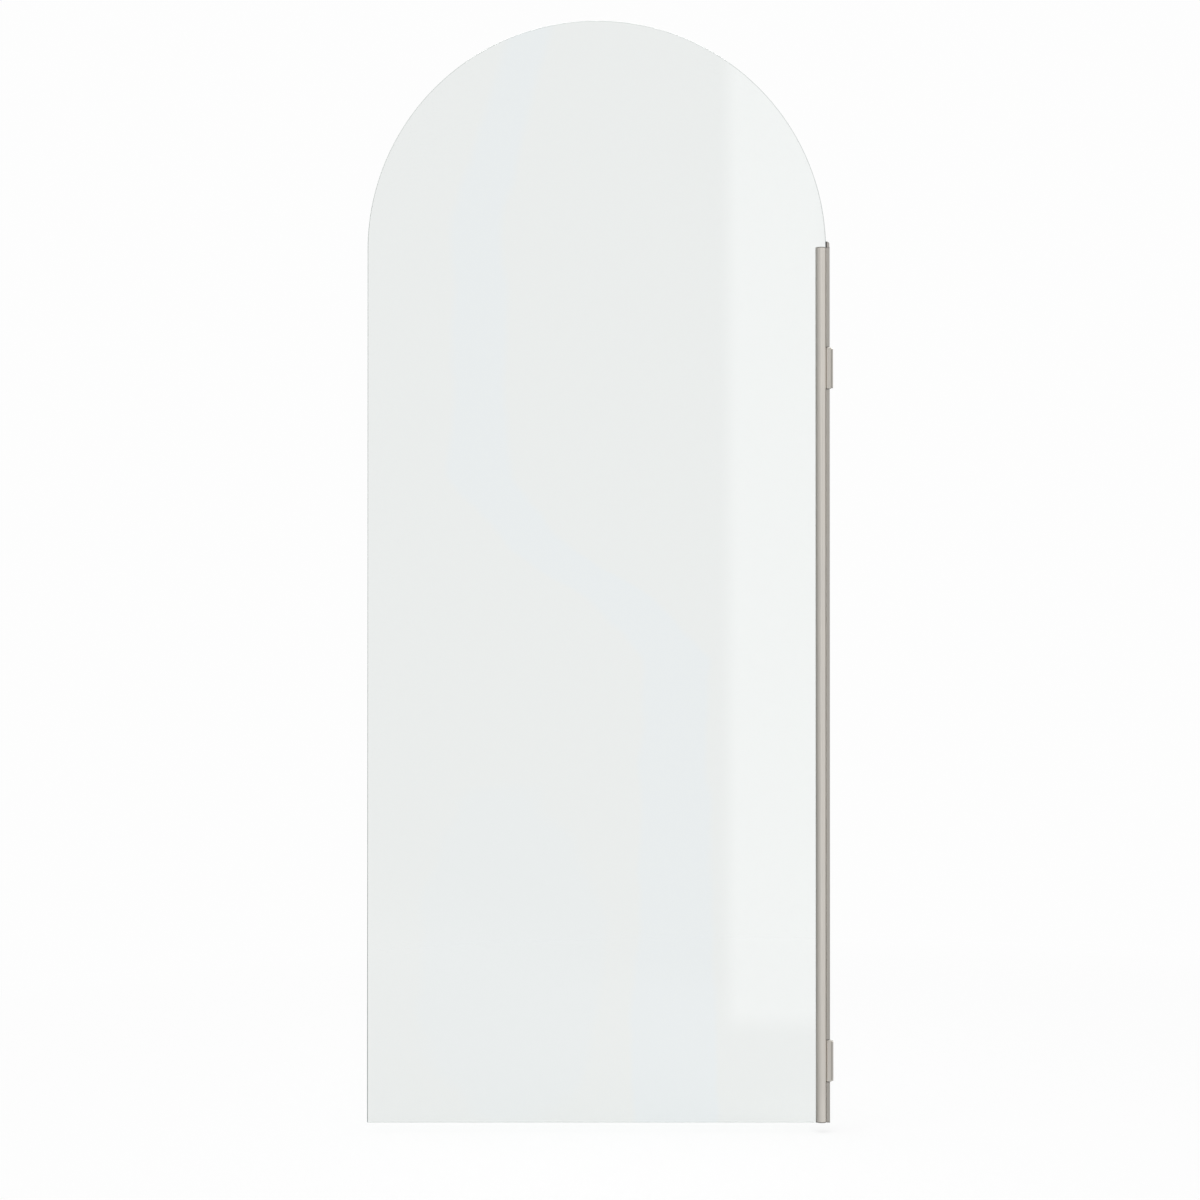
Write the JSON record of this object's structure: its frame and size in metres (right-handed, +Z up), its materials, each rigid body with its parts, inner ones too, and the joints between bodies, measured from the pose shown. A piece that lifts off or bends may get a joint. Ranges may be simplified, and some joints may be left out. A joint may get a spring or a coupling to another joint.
{
  "type": "hinged walk-in shower screen",
  "caption": "Arched clear glass shower screen clamped along one edge in a brushed metal channel with a half-round cover, swinging on pinned brackets screwed to the wall.",
  "frame": {"origin": "on the wall face of the lower bracket, at half its height, in the middle plane of the glass", "axes": "+X into the wall, square to it; +Y from the entry side through the glass; +Z up"},
  "size_m": [0.8443, 0.0411, 1.9998],
  "materials": {
    "clear_glass": "clear toughened float glass with polished arrised edges",
    "brushed_nickel": "brushed nickel anodising, grain along the length",
    "nickel_bracket": "brushed nickel plating",
    "nickel_plastic": "moulded caps coloured to match the nickel",
    "black_rubber": "soft black glazing strip",
    "black_nylon": "black nylon",
    "stainless": "plain stainless",
    "mill_aluminium": "mill finish"
  },
  "bodies": {
    "wall_hinges": {"lower_wall_plate": "nickel_bracket", "lower_hinge_arm": "nickel_bracket", "lower_arm_screws": "stainless", "upper_wall_plate": "nickel_bracket", "upper_hinge_arm": "nickel_bracket", "upper_arm_screws": "stainless"},
    "screen": {"glass_panel": "clear_glass", "hinge_profile": "brushed_nickel", "front_cover": "brushed_nickel", "top_end_cap": "nickel_plastic", "bottom_end_cap": "nickel_plastic", "edge_gasket": "black_rubber", "front_gasket": "black_rubber", "back_gasket": "black_rubber", "lower_top_washer": "black_nylon", "lower_bottom_washer": "black_nylon", "upper_top_washer": "black_nylon", "upper_bottom_washer": "black_nylon", "clamp_screws": "stainless", "lower_hinge_pin": "stainless", "upper_hinge_pin": "stainless", "pressure_strip": "mill_aluminium"}
  },
  "joints": [
    {"name": "screen_swing", "type": "hinge", "parent": "wall_hinges", "child": "screen", "pos_m": [-0.00885, -0.006, 0.627], "axis": [0, 0, 1], "range_deg": [0, 90]}
  ]
}
